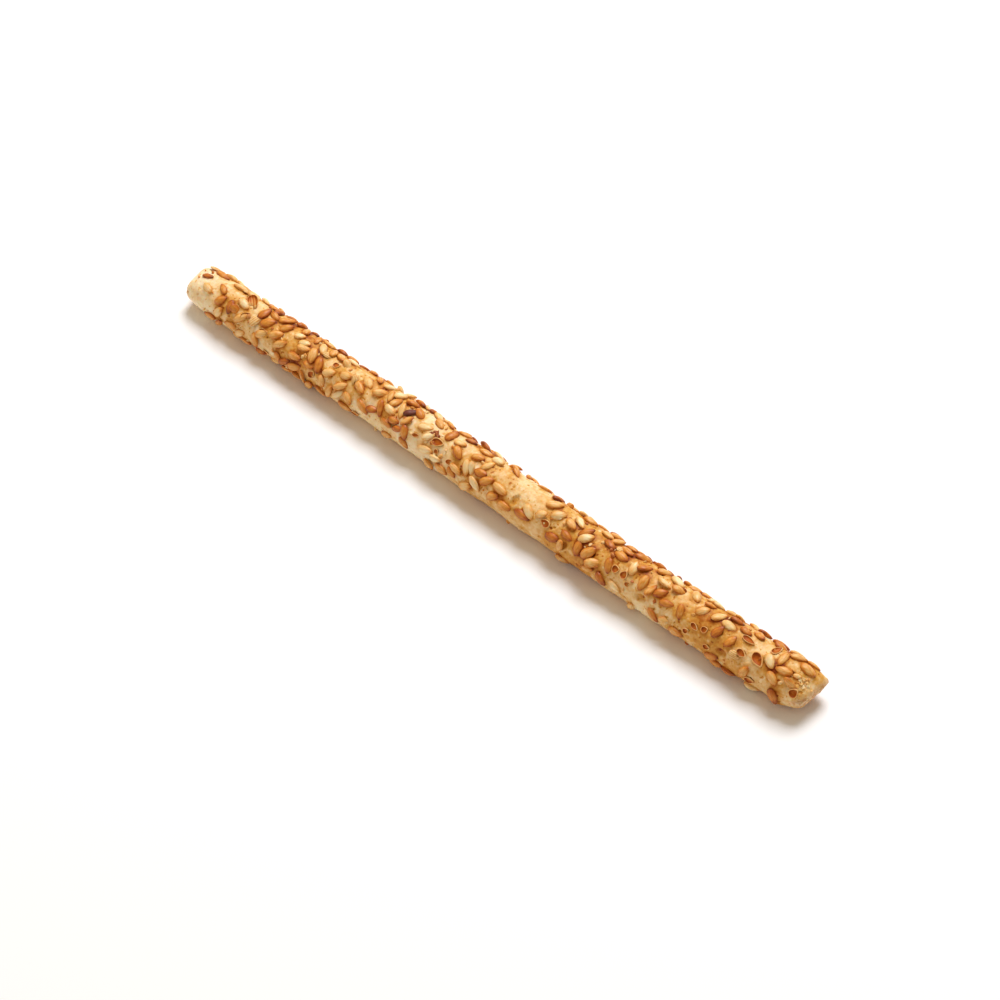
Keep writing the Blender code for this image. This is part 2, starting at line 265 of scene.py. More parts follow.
# %% The husks and the seeds that were seen
# The empty husks: distance along in mm, angle around and heading in degrees, length and width in mm.
HUSKS = (
    (-55.7, 98, 20, 1.7, 1.5), (-43, 67, 60, 2.2, 1.7), (-39, 9, 30, 1.7, 1.5),
    (-15.2, 44, 20, 1.7, 0.9), (-10.2, 28, 15, 3, 1.9), (-9.5, 49, 0, 1.2, 1.1),
    (18.5, 42, 170, 2.4, 1.8), (35.9, 37, 20, 1.9, 1.8), (37.9, 37, 80, 2, 1.8),
    (54, 67, 40, 1.5, 1.3), (55.2, 47, -20, 2, 1.2), (57.2, 40, 40, 1.6, 1.5),
    (58.9, 76, 10, 1.7, 1.3), (65.3, 4, -5, 3.1, 1.4), (65.6, 40, -10, 2.3, 1.6),
    (70.6, -13, 75, 3, 1.6), (68.9, 32, -32, 3.4, 2.4), (69, 92, 20, 2.4, 1.8),
    (78.4, 58, 60, 2.2, 2.1),
)
# The single seeds: distance along in mm, angle around and heading in degrees, size, and how dark
# they roasted.
SEEN_SEEDS = (
    (-76.3, 0, 15, 0.78, 0.85), (-73.4, -58, 178, 1.12, 0.12), (-71.1, 8, 150, 0.85, 0.5),
    (-74.2, 30, -18, 0.85, 0.15), (-69.9, 37, 48, 0.95, 0.45), (-67.1, 38, -80, 0.95, 0.62),
    (-72, 102, -174, 1, 0.45), (-65.9, 84, -165, 1, 0.25), (-57.7, 16, 41, 1.05, 0.45),
    (-17.7, 54, -63, 1, 0.5), (-12, 62, 15, 1.05, 0.1), (-7.2, 84, -12, 1, 0.35),
    (-2, 40, -60, 1, 0.15), (3.3, 38, 38, 1, 0.4), (5.8, 62, 33, 0.9, 0.4), (9, 66, 0, 1, 0.35),
    (14.3, 42, -33, 1, 0.05), (13.3, 58, 0, 1.1, 0.6), (27, 48, -80, 0.95, 0.5),
    (27.3, 16, 46, 1.05, 0.08), (33.8, 82, -39, 1, 0.6), (34.3, 40, -66, 0.95, 0.45),
    (42, 28, -90, 1, 0.3), (46.6, 84, -38, 0.95, 0.5), (52, 90, 5, 1.05, 0.4),
    (60.3, 96, 29, 1.05, 0.45), (67.6, 76, 69, 0.95, 0.35), (71, 20, -39, 0.98, 0.08),
    (72.7, -1, -89, 0.98, 0.3), (73.1, 51, -31, 0.9, 0.3), (74.2, 22, -167, 0.98, 0.35),
    (74.4, -37, 45, 1.08, 0.3), (75.3, 92, -54, 1.05, 0.6), (76.6, 13, 28, 0.55, 0.2),
    (77.1, -27, 13, 1.08, 0.32), (77, -58, 10, 0.85, 0.3),
)
SEEN_SEED_RISE = 0.2 * MM
print(len(HUSKS), "empty husks and", len(SEEN_SEEDS), "single seeds were seen")

# %% How likely a seed sticks
SEEDED_COVER = 1.0
COVER_FADE_DEG = 16.0
# Away from the seeded side a few seeds stick too, none at the middle and more towards the ends.
STRAY_COVER, STRAY_REACH = 0.035, 45 * MM


def seeded_limit(along):
    """The angle in degrees to which the seeds reach here, on the side that shows."""
    for (start, start_deg), (end, end_deg) in zip(SEEDED_LIMITS, SEEDED_LIMITS[1:]):
        if along <= end:
            return mixed(start_deg, end_deg, (along - start) / (end - start))
    return SEEDED_LIMITS[-1][1]


def cover_at(along, around_deg):
    """The chance from 0 to 1 that a seed which falls here sticks."""
    away = max(around_deg - seeded_limit(along), SEEDED_START_DEG - around_deg)
    fade = eased(away / COVER_FADE_DEG)
    stray_cover = STRAY_COVER * min(1.0, (along / STRAY_REACH) ** 2)
    cover = mixed(SEEDED_COVER, stray_cover, fade)
    for patch_along, patch_around, patch_radius in BARE_PATCHES:
        across = math.radians(around_deg - patch_around) * STICK_THICKNESS / 2
        if math.hypot(along - patch_along, across) < patch_radius:
            cover = 0.0
    return cover


print("the seeds reach", seeded_limit(0), "degrees down the side at the middle")

# %% Let the seeds fall
FIRST_DRAW = 11  # another number gives another scatter
SCATTER_TRIES = 9000
SEED_GAP = 1.66 * MM
FAR_BARE_LENGTH, NEAR_BARE_LENGTH = 6.0 * MM, 2.2 * MM
FLOOR_CLEARANCE = 0.25 * MM


def clear_of(line, others, gap):
    """Whether no point of the line is nearer than the gap to a point of another line."""
    return all((a - b).length > gap for other in others for a in line for b in other)


def fallen_seeds(draw_number, gap, rises, spreads, taken, limit, sizes):
    """Resting places of seeds that found room between each other and the lines in taken."""
    draw = random.Random(draw_number)
    tilt_spread, roll_spread = spreads
    places, lines = [], []
    for _ in range(SCATTER_TRIES):
        along = draw.uniform(
            FAR_BARE_LENGTH - STICK_LENGTH / 2, STICK_LENGTH / 2 - NEAR_BARE_LENGTH
        )
        around_deg = draw.uniform(-180, 180)
        stuck = draw.random() < cover_at(along, around_deg)
        heading = math.radians(draw.gauss(HEADING_MEAN_DEG, HEADING_SPREAD_DEG))
        tilt = math.radians(draw.gauss(0, tilt_spread))
        roll = math.radians(draw.gauss(0, roll_spread))
        rise = draw.uniform(*rises)
        size = draw.uniform(*sizes)
        if not stuck or len(places) == limit:
            continue
        place = resting_place(along, math.radians(around_deg), heading, rise, tilt, roll, size)
        line = middle_line(place)
        lowest = min(point.z for point in line) - SEED_WIDTH / 2
        if lowest > FLOOR_CLEARANCE and clear_of(line, lines + taken, gap):
            places.append(place)
            lines.append(line)
    return places


husk_lines = [middle_line(seen_place(x, turn, 0)) for x, turn, *_ in HUSKS]
seen_places = [
    seen_place(x, turn, heading, rise=SEEN_SEED_RISE, size=size)
    for x, turn, heading, size, _ in SEEN_SEEDS
]
first_places = seen_places + fallen_seeds(
    FIRST_DRAW, SEED_GAP, SEED_RISE, (TILT_SPREAD_DEG, ROLL_SPREAD_DEG),
    husk_lines + [middle_line(place) for place in seen_places],
    limit=SCATTER_TRIES, sizes=SEED_SIZES,
)
print(len(first_places), "seeds lie on the crust")

# %% [markdown]
# A strand that is rolled in seeds also picks up late ones. They lie partly on the others, tipped up
# where they bridge a gap. The same loop drops them, with a smaller gap to the seeds below and more
# tilt. They leave the curled flakes of husk uncovered that are modelled further on, so the places of
# those come first.

# %% Let the late seeds fall
LATE_DRAW = 23
LATE_SEED_GAP = 1.1 * MM
LATE_SEED_RISE = (0.18 * MM, 0.29 * MM)
LATE_SEED_SPREADS = (11, 16)  # of tilt and roll, in degrees
LATE_SEED_COUNT = 95
LATE_SEED_SIZES = (0.8, 1.02)
# The flakes, as seen in the real one: distance along in mm, angle around, heading and tilt in
# degrees, size, and roll in degrees, which is 180 where the hollow side is down.
SEEN_FLAKES = (
    (-77, -46, 35, 6, 1.0, 180), (-68.6, -54, 20, 8, 1.0, 180), (-66.9, -35, 30, 3, 1.0, 180),
    (-63.7, -6, -40, 6, 1.4, 0), (-65.7, 11, 20, 25, 0.5, 0), (-60.3, 26, 69, 4, 1.2, 180),
    (-62.7, 33, 40, 14, 0.85, 0), (-57, 46, -10, 8, 0.9, 0), (-42, -2, 10, 12, 0.85, 180),
    (-33.4, 16, -60, 12, 0.85, 180), (-30.4, 100, 0, 6, 0.85, 0), (-5.7, 52, 10, 25, 0.6, 0),
    (34, -14, 90, 14, 0.85, 180), (39.6, 52, 0, 20, 0.5, 0), (64.8, 52, 0, 5, 0.9, 180),
)

flake_lines = [
    middle_line(seen_place(x, turn, heading)) for x, turn, heading, *_ in SEEN_FLAKES
]
late_places = fallen_seeds(
    LATE_DRAW, LATE_SEED_GAP, LATE_SEED_RISE, LATE_SEED_SPREADS,
    [middle_line(place) for place in first_places] + husk_lines + flake_lines,
    LATE_SEED_COUNT, LATE_SEED_SIZES,
)
print(len(late_places), "late seeds lie between and on them")

# %% [markdown]
# ## The bread
#
# The piece starts as a cylinder lying along X, as the real one starts as a rolled strand. Subdividing
# its long edges gives rings, and the end caps get rings too by insetting them again and again. The
# cells are then a quarter of a millimetre wide, fine enough for real dimples and cracks.


# %% Helpers for working in edit mode
def select_only(*chosen):
    bpy.ops.object.select_all(action="DESELECT")
    for item in chosen:
        item.select_set(True)
    bpy.context.view_layer.objects.active = chosen[0]


def select_edges(item, wanted):
    """In edit mode, selects just the edges for which wanted(start, end) is true."""
    bpy.ops.mesh.select_all(action="DESELECT")
    bpy.ops.mesh.select_mode(type="EDGE")
    shape = bmesh.from_edit_mesh(item.data)
    for edge in shape.edges:
        edge.select_set(wanted(edge.verts[0].co, edge.verts[1].co))
    bmesh.update_edit_mesh(item.data)


def select_corners(item, wanted):
    """In edit mode, selects just the corners for which wanted(corner) is true."""
    bpy.ops.mesh.select_all(action="DESELECT")
    bpy.ops.mesh.select_mode(type="VERT")
    shape = bmesh.from_edit_mesh(item.data)
    for corner in shape.verts:
        corner.select_set(wanted(corner.co))
    shape.select_flush_mode()
    bmesh.update_edit_mesh(item.data)


# %% A finely ringed cylinder
BREAD_SIDES = 110
FIRST_CUTS, SECOND_CUTS = 99, 5  # the second cuts divide what the first ones left
SHORTEST_LONG_EDGE = 0.1 * MM
CAP_RINGS = 9
STRAND_RADIUS = STICK_THICKNESS / 2

bpy.ops.object.select_all(action="DESELECT")
bpy.ops.mesh.primitive_cylinder_add(
    vertices=BREAD_SIDES, radius=STRAND_RADIUS, depth=STICK_LENGTH, rotation=(0, math.pi / 2, 0)
)
bread = bpy.context.object
bread.name = "bread"
bpy.ops.object.transform_apply(rotation=True)
bpy.ops.object.mode_set(mode="EDIT")
for cuts in (FIRST_CUTS, SECOND_CUTS):
    select_edges(bread, lambda a, b: abs(a.x - b.x) > SHORTEST_LONG_EDGE)
    bpy.ops.mesh.subdivide(number_cuts=cuts)
bpy.ops.mesh.select_all(action="DESELECT")
bpy.ops.mesh.select_mode(type="FACE")
shape = bmesh.from_edit_mesh(bread.data)
for face in shape.faces:
    face.select_set(len(face.verts) > 4)
bmesh.update_edit_mesh(bread.data)
for _ in range(CAP_RINGS):
    bpy.ops.mesh.inset(thickness=STRAND_RADIUS / (CAP_RINGS + 1), use_individual=True)
bpy.ops.mesh.poke()
bpy.ops.object.mode_set(mode="OBJECT")
print("bread:", len(bread.data.vertices), "corners in", len(bread.data.polygons), "faces")

# %% [markdown]
# Dough is never smooth. Under the oven's heat it blisters into soft lumps and dries into a fine
# grain, and it creeps up around every seed that is pressed into it. A few seeds fell out again after
# baking and left shallow beds, and gas left pin holes. The cut ends are torn crumb.
#
# Each of these could be a Displace modifier, but only a rule that knows where the seeds are can raise
# the dough around them. So one function adds up the heights, and the corners move out by the sum. On
# the way each corner gets notes, for the colours later on: how close a seed is, whether it lies in a
# crevice between two seeds, in a pit, on the torn edge or on the underside.

# %% Sizes of the crust's relief
LUMP_SIZE, LUMP_HEIGHT = 5.5 * MM, 0.14 * MM
BLISTER_SIZE, BLISTER_HEIGHT = 1.7 * MM, 0.1 * MM
GRAIN_SIZE, GRAIN_HEIGHT = 0.55 * MM, 0.045 * MM
# The dough that crept up around a seed, and how uneven its height is, as a share.
COLLAR_HEIGHT, COLLAR_WIDTH, COLLAR_UNEVENNESS = 0.12 * MM, 0.3 * MM, 0.6
CREVICE_WIDTH = 0.5 * MM
BED_DEPTH, BED_RIM = 0.32 * MM, 0.1 * MM
BED_SLOPE, BED_RIM_WIDTH = 0.4 * MM, 0.22 * MM
BED_SIZE_SHARE, BED_PIT_SHARE = 0.9, 0.6  # of a seed's size, and of a pin hole's darkness
HUSK_BED_DEPTH = 0.7 * MM
HUSK_WALL_SHARE = 0.15  # the husk's wall as a share of its width
HOLE_DEPTH, HOLE_RADIUS = 0.35 * MM, (0.2 * MM, 0.42 * MM)
HOLE_DRAW, HOLE_COUNT = 7, 130
HOLE_AROUND_DEG, HOLE_SPREAD_DEG = 70, 70
print("the largest lumps stand out", round(LUMP_HEIGHT / MM, 2), "mm")

# %% Beds of lost seeds, beds of husks, and pin holes
# Seen in the real one: distance along in mm, angle around and heading in degrees.
SEEN_BEDS = ((29.6, 40, 0), (23.8, 66, 50), (10.5, 38, 80), (-10, 88, 20), (62, 66, 0), (43, 62, 0))
Bed = namedtuple("Bed", "middle back half_length half_width depth")


def bed_of(place, length, width, depth):
    return Bed(place.translation, place.inverted(), length / 2, width / 2, depth)


beds = [
    bed_of(
        seen_place(x, turn, heading),
        BED_SIZE_SHARE * SEED_LENGTH, BED_SIZE_SHARE * SEED_WIDTH, BED_DEPTH,
    )
    for x, turn, heading in SEEN_BEDS
]
for x, turn, heading, *size in HUSKS:
    length, width = (measure * MM for measure in size)
    wall = HUSK_WALL_SHARE * width
    beds.append(bed_of(seen_place(x, turn, heading), length - wall, width - wall, HUSK_BED_DEPTH))
hole_draw = random.Random(HOLE_DRAW)
holes = []
for _ in range(HOLE_COUNT):
    along = hole_draw.uniform(-0.5, 0.5) * STICK_LENGTH
    around = math.radians(hole_draw.gauss(HOLE_AROUND_DEG, HOLE_SPREAD_DEG))
    holes.append((crust_point(along, around), hole_draw.uniform(*HOLE_RADIUS)))
print(len(beds), "beds and", len(holes), "pin holes")


# %% The height of the relief
def tree_of(points):
    tree = kdtree.KDTree(len(points))
    for number, point in enumerate(points):
        tree.insert(point, number)
    tree.balance()
    return tree


SEARCH_REACH = 2.6 * MM  # a seed further away than this raises nothing
pressed = [bed_of(place, SEED_LENGTH, SEED_WIDTH, 0.0) for place in first_places]
pressed_tree = tree_of([bed.middle for bed in pressed])
bed_tree = tree_of([bed.middle for bed in beds])
hole_tree = tree_of([spot for spot, _ in holes])


def distance_outside(bed, point):
    """How far outside a bed's outline the point lies, in metres; below 0 is inside."""
    local = bed.back @ point
    return (math.hypot(local.x / bed.half_length, local.y / bed.half_width) - 1) * bed.half_width


def grain(point, size, number):
    """Soft noise from -1 to 1 whose bumps are about this size; number picks another pattern."""
    return noise.noise(point / size + Vector((number * 31.7, number * 17.3, 0)))


def relief_at(point):
    """How far the crust stands out here, and how much of it is seed's edge, crevice and pit."""
    height = LUMP_HEIGHT * grain(point, LUMP_SIZE, 1)
    height += BLISTER_HEIGHT * grain(point, BLISTER_SIZE, 2)
    height += GRAIN_HEIGHT * grain(point, GRAIN_SIZE, 3)
    closest, crowd, pit = 0.0, 0.0, 0.0
    for _, number, _ in pressed_tree.find_range(point, SEARCH_REACH):
        outside = max(0.0, distance_outside(pressed[number], point))
        closest = max(closest, math.exp(-outside / COLLAR_WIDTH))
        crowd += math.exp(-outside / CREVICE_WIDTH)
    height += COLLAR_HEIGHT * closest * (1 + COLLAR_UNEVENNESS * grain(point, GRAIN_SIZE, 4))
    for _, number, _ in bed_tree.find_range(point, SEARCH_REACH):
        bed = beds[number]
        outside = distance_outside(bed, point)
        sunk = eased(-outside / BED_SLOPE)
        height += BED_RIM * math.exp(-((outside / BED_RIM_WIDTH) ** 2)) - bed.depth * sunk
        pit = max(pit, BED_PIT_SHARE * sunk)
    for _, number, away in hole_tree.find_range(point, max(HOLE_RADIUS)):
        sunk = eased(1 - away / holes[number][1])
        height -= HOLE_DEPTH * sunk
        pit = max(pit, sunk)
    return height, closest, min(1.0, max(0.0, crowd - 1)), pit


print("relief on top of the middle, mm:", round(relief_at(crust_point(0, 0))[0] / MM, 3))

# %% Move the corners onto the crust
# The torn crumb of the cuts. It reaches this far in from the cut. A crumb has a size and a height,
# half-size crumbs between them add a share of that, and the sink keeps most of it below the crust.
CRUMB_LENGTH = 0.55 * MM
CRUMB_SIZE, CRUMB_HEIGHT, FINE_CRUMB_SHARE, CRUMB_SINK = 0.85 * MM, 0.2 * MM, 0.5, 0.3
# The tear does the same along the stick.
TEAR_SIZE, TORN_STEP, FINE_TEAR_SHARE, TEAR_SINK = 1.5 * CRUMB_SIZE, 0.35 * MM, 0.6, 0.5
# The underside starts where the crust faces down by this much, and is full after the fade.
UNDERSIDE_START, UNDERSIDE_FADE = 0.3, 0.5
# The notes on how near a seed is and on crevices carry painted shade: the crust is darkened next to
# each seed and between two, where seeds shade it; next to a seed this is also the oil's deeper orange.
NOTES = ("seed_oil_and_shade", "crevice_shade", "pit", "torn", "underneath")
for name in NOTES:
    bread.data.attributes.new(name, "FLOAT", "POINT")
notes = [bread.data.attributes[name].data for name in NOTES]
for corner in bread.data.vertices:
    along, around = corner.co.x, math.atan2(-corner.co.y, corner.co.z)
    inward = min(1.0, math.hypot(corner.co.y, corner.co.z) / STRAND_RADIUS)
    smooth_point = crust_point(along, around)
    height, seed_oil_and_shade, crevice_shade, pit = relief_at(smooth_point)
    from_cut = STICK_LENGTH / 2 - abs(along)
    raggedness = eased(1 - from_cut / CRUMB_LENGTH)
    crumb = grain(smooth_point, CRUMB_SIZE, 5)
    crumb += FINE_CRUMB_SHARE * grain(smooth_point, CRUMB_SIZE / 2, 6)
    height += raggedness * CRUMB_HEIGHT * (crumb - CRUMB_SINK)
    place = crust_point(along, around, height, inward)
    tear = grain(place, TEAR_SIZE, 8) + FINE_TEAR_SHARE * grain(place, CRUMB_SIZE / 2, 9)
    place.x += math.copysign(TORN_STEP, along) * raggedness * (tear - TEAR_SINK)
    corner.co = place
    underneath = eased((-math.cos(around) - UNDERSIDE_START) / UNDERSIDE_FADE)
    values = (seed_oil_and_shade * inward, crevice_shade * inward, pit, raggedness, underneath)
    for note, value in zip(notes, values):
        note[corner.index].value = value
select_only(bread)
bpy.ops.object.shade_smooth()
print("bread box, mm:", [round(size / MM, 2) for size in bread.dimensions])

# %% [markdown]
# ## The whole seeds
#
# A sesame seed is a flat drop, round at one end and drawn to a point at the other, a little over three
# millimetres long. A UV sphere with its poles at the two ends has its rings just where a drop needs
# them: each ring is selected and resized to the drop's width there. Three seeds are modelled that way,
# a plump one, a slim one and a bent one, and every seed on the stick is a copy of one of them. With
# hundreds of copies, each has only a few dozen faces.

# %% A drop, shaped ring by ring
SEED_RINGS = 7
# The widths of the rings, from the point to the round end, of a husk and of a blunter whole seed.
RING_WIDTHS = (0.66, 0.77, 0.91, 1.05, 1.12, 1.1)
BLUNT_RING_WIDTHS = (0.76, 0.84, 0.94, 1.04, 1.09, 1.09)
RING_TOLERANCE = 0.01  # of the sphere's width


def model_drop(name, segments, length, width, thickness, bend=0.0, ring_widths=RING_WIDTHS):
    """A drop with its point towards +X, as an object that is left in edit mode."""
    bpy.ops.object.select_all(action="DESELECT")
    bpy.ops.mesh.primitive_uv_sphere_add(
        segments=segments, ring_count=SEED_RINGS, radius=0.5, rotation=(0, math.pi / 2, 0)
    )
    drop = bpy.context.object
    drop.name = name
    bpy.ops.object.transform_apply(rotation=True)
    bpy.ops.object.mode_set(mode="EDIT")
    for number, share in enumerate(ring_widths):
        ring_x = 0.5 * math.cos(math.pi * (number + 1) / SEED_RINGS)
        select_corners(drop, lambda corner: abs(corner.x - ring_x) < RING_TOLERANCE)
        bpy.ops.transform.resize(value=(1, share, share))
        lift = bend * (1 - (2 * ring_x) ** 2) / thickness
        bpy.ops.transform.translate(value=(0, 0, lift))
    bpy.ops.mesh.select_all(action="SELECT")
    bpy.ops.transform.resize(value=(length, width, thickness), center_override=(0, 0, 0))
    return drop


print("a drop has", len(RING_WIDTHS), "rings between its poles")

# %% Model three seeds
SEED_SEGMENTS = 8
# Name, length, width and thickness as shares of the usual seed, how far its middle is bent up.
SEED_RECIPES = (
    ("plump_seed", 1.04, 1.0, 1.0, 0.0),
    ("slim_seed", 1.1, 0.86, 0.9, 0.06 * MM),
    ("bent_seed", 1.0, 0.95, 1.05, 0.14 * MM),
)
UNDERSIDE_FLATNESS = 0.8
MIDPLANE_TOLERANCE = 0.01 * MM


def note_lie(seed):
    """Notes on each corner, for the colours, how near it is to the seed's point, to its outline and
    to one side."""
    for name in ("tip", "rim", "side"):
        seed.data.attributes.new(name, "FLOAT", "POINT")
    tip, rim, side = (seed.data.attributes[name].data for name in ("tip", "rim", "side"))
    half_length, half_width = (max(c.co[k] for c in seed.data.vertices) for k in (0, 1))
    for corner in seed.data.vertices:
        tip[corner.index].value = 0.5 + 0.5 * corner.co.x / half_length
        side[corner.index].value = corner.co.y / half_width
        rim[corner.index].value = min(
            1.0, math.hypot(corner.co.x / half_length, corner.co.y / half_width)
        )


def model_seed(name, length, width, thickness, bend):
    seed = model_drop(
        name, SEED_SEGMENTS, SEED_LENGTH * length, SEED_WIDTH * width, SEED_THICKNESS * thickness,
        bend, BLUNT_RING_WIDTHS,
    )
    select_corners(seed, lambda corner: corner.z < -MIDPLANE_TOLERANCE)
    bpy.ops.transform.resize(value=(1, 1, UNDERSIDE_FLATNESS), center_override=(0, 0, 0))
    bpy.ops.object.mode_set(mode="OBJECT")
    bpy.ops.object.shade_smooth()
    note_lie(seed)
    return seed


masters = [model_seed(*recipe) for recipe in SEED_RECIPES]
print([(master.name, len(master.data.polygons), "faces") for master in masters])


# %% [markdown]
# Each seed on the stick is a copy with a mesh of its own, moved to its resting place, and gets one
# number that says how dark the oven roasted it. Neighbours roasted alike, so part of that number comes
# from soft noise along the stick. The copies are then joined into one piece.


# %% Copy the seeds to their places
def copy_to(master, place, **notes):
    """A copy of the master, with its own mesh, moved to its place, with a number for each note."""
    copied = master.copy()
    copied.data = master.data.copy()
    copied.data.transform(place)
    bpy.context.scene.collection.objects.link(copied)
    for name, value in notes.items():
        note = copied.data.attributes.new(name, "FLOAT", "POINT")
        for entry in note.data:
            entry.value = value
    return copied


def joined(name, parts):
    select_only(*parts)
    bpy.ops.object.join()
    whole = bpy.context.object
    whole.name = name
    return whole


ROAST_MEAN, ROAST_SPREAD = 0.33, 0.18
ROAST_DRIFT, ROAST_DRIFT_SIZE = 0.25, 9 * MM
PALEST_ROAST, DARKEST_ROAST = 0.02, 0.64
# How much paler the seeds are towards the far end, from where, and the fade.
FAR_END_PALER, FAR_END_REACH, FAR_END_FADE = 0.16, -55 * MM, 20 * MM
ROAST_DRAW, MASTER_WEIGHTS = 5, (5, 3, 2)
master_draw = random.Random(ROAST_DRAW)
copies = []
for number, place in enumerate(first_places + late_places):
    master = master_draw.choices(masters, weights=MASTER_WEIGHTS)[0]
    roast = master_draw.gauss(ROAST_MEAN, ROAST_SPREAD)
    roast += ROAST_DRIFT * grain(place.translation, ROAST_DRIFT_SIZE, 11)
    roast -= FAR_END_PALER * eased((FAR_END_REACH - place.translation.x) / FAR_END_FADE)
    if number < len(SEEN_SEEDS):
        roast = SEEN_SEEDS[number][-1]
    copies.append(copy_to(master, place, roast=min(DARKEST_ROAST, max(PALEST_ROAST, roast))))
seeds = joined("seeds", copies)
print("seeds:", len(seeds.data.polygons), "faces")

# %% [markdown]
# ## Husks
#
# Some seeds burst, and only their husk is left in the crust: a little cup with a thin pale rim and a
# brown hollow. Each is the lower half of a drop. The upper half is deleted, Solidify gives it a wall,
# and Subdivision Surface rounds the rim. Every husk has a size of its own, so each is modelled anew,
# with a wall that is a share of its width.


# %% Model the husks
def thicken(item, thickness):
    """Gives a shell its wall, on the inner side."""
    wall = item.modifiers.new("wall", "SOLIDIFY")
    wall.thickness, wall.offset = thickness, -1
    select_only(item)
    bpy.ops.object.modifier_apply(modifier=wall.name)


HOLLOW_STEEPNESS = 2.2


def note_hollow(item, half_width):
    """Notes on each corner how far down inside the husk it lies, from 0 to 1."""
    hollow = item.data.attributes.new("hollow", "FLOAT", "POINT")
    for corner in item.data.vertices:
        facing_in = -corner.normal.dot(corner.co) / half_width
        hollow.data[corner.index].value = min(1.0, max(0.0, HOLLOW_STEEPNESS * facing_in))


HUSK_SEGMENTS = 12
HUSK_DEPTH_SHARE = 0.6  # of its width
HUSK_PROUD = 0.3 * MM  # how far the rim stands out of the crust
RIM_TOLERANCE = 0.02 * MM
husks = []
for x, turn, heading, *size in HUSKS:
    length, width = (measure * MM for measure in size)
    husk = model_drop("husk", HUSK_SEGMENTS, length, width, HUSK_DEPTH_SHARE * width)
    select_corners(husk, lambda corner: corner.z > RIM_TOLERANCE)
    bpy.ops.mesh.delete(type="VERT")
    bpy.ops.object.mode_set(mode="OBJECT")
    thicken(husk, HUSK_WALL_SHARE * width)
    rounding = husk.modifiers.new("round rim", "SUBSURF")
    rounding.levels = rounding.render_levels = 1
    bpy.ops.object.modifier_apply(modifier=rounding.name)
    bpy.ops.object.shade_smooth()
    note_hollow(husk, width / 2)
    husk.data.transform(seen_place(x, turn, heading, rise=HUSK_PROUD))
    husks.append(husk)
open_husks = joined("open_husks", husks)
print(len(HUSKS), "husks:", len(open_husks.data.polygons), "faces")

# %% [markdown]
# Other husks came off in thin curled flakes, about half of them near the far end. A flake is half a
# drop again, with a wall like paper, and its pointed end is broken off at a slant. Some lie on the
# crust with their hollow side up, like a little boat, and some with it down. Most are tipped a little.

# %% Model a flake and lay out the copies
FLAKE_LENGTH, FLAKE_WIDTH, FLAKE_DEPTH, FLAKE_WALL = 3.1 * MM, 1.8 * MM, 0.8 * MM, 0.1 * MM
BREAK_SHARE, BREAK_SLANT = 0.34, 0.5  # where the point breaks off, as a share of the length
HOLLOW_DOWN_RISE = 0.16 * MM
HOLLOW_UP_RISE_SHARE = 0.45  # of its depth, so that the crust does not fill the hollow
FLAKE_DRAW, FLAKE_ROLL_SPREAD_DEG = 3, 8

flake = model_drop("flake", HUSK_SEGMENTS, FLAKE_LENGTH, FLAKE_WIDTH, FLAKE_DEPTH)
select_corners(flake, lambda corner: (
    corner.z > RIM_TOLERANCE or corner.x > BREAK_SHARE * FLAKE_LENGTH + BREAK_SLANT * corner.y
))
bpy.ops.mesh.delete(type="VERT")
bpy.ops.object.mode_set(mode="OBJECT")
thicken(flake, FLAKE_WALL)
bpy.ops.object.shade_smooth()
note_hollow(flake, FLAKE_WIDTH)  # the whole width, not half, so it is paler inside than a husk
note_lie(flake)
flake_draw = random.Random(FLAKE_DRAW)
flake_copies = []
for x, turn, heading, tilt, size, roll in SEEN_FLAKES:
    rise = HOLLOW_DOWN_RISE if roll else HOLLOW_UP_RISE_SHARE * FLAKE_DEPTH * size
    roll += flake_draw.gauss(0, FLAKE_ROLL_SPREAD_DEG)
    flake_copies.append(copy_to(flake, seen_place(
        x, turn, heading, rise=rise, tilt=math.radians(tilt), roll=math.radians(roll), size=size
    )))
husk_flakes = joined("husk_flakes", flake_copies)
print(len(flake_copies), "flakes of", len(flake.data.polygons), "faces")

# %% [markdown]
# ## A dark seed, scorched bits and crumbs
#
# One seed stayed in its hull and roasted almost black-red. Broken bits of such hulls lie in little
# heaps, and pale crumbs of seed fill the gaps between the whole ones. A bit or a crumb is an ico
# sphere, pushed in at one side and flattened, which leaves it as angular as something that broke.

# %% Place the dark seed
DARK_ROAST = 0.45
dark_seeds = copy_to(
    masters[1], seen_place(-19, 4, 48, rise=0.3 * MM, size=0.95), roast=DARK_ROAST
)
dark_seeds.name = "dark_seeds"
print("the dark seed has", len(dark_seeds.data.polygons), "faces")

# %% Model a chip
# All as shares of the chip's length: what lies beyond the push line moves in and sideways.
PUSH_LINE, PUSH = 0.2, (-0.16, 0.1, 0)
CHIP_SHAPE, CHIP_ROUGHNESS = (1, 0.7, 0.4), 0.09
CHIP_LIMIT_DEG, CHIP_EXTRA_COVER = 135, 0.1  # some chips stick where seeds do not

bpy.ops.object.select_all(action="DESELECT")
bpy.ops.mesh.primitive_ico_sphere_add(subdivisions=2, radius=0.5)
chip = bpy.context.object
chip.name = "chip"
bpy.ops.object.mode_set(mode="EDIT")
select_corners(chip, lambda corner: corner.x > PUSH_LINE)
bpy.ops.transform.translate(value=PUSH)
bpy.ops.mesh.select_all(action="SELECT")
bpy.ops.transform.resize(value=CHIP_SHAPE, center_override=(0, 0, 0))
bpy.ops.transform.vertex_random(offset=CHIP_ROUGHNESS, seed=4)
bpy.ops.object.mode_set(mode="OBJECT")
bpy.ops.object.shade_smooth()
print("a chip has", len(chip.data.polygons), "faces")


# %% Two ways to lay chips out
FIRST_HEAP_DRAW = 40


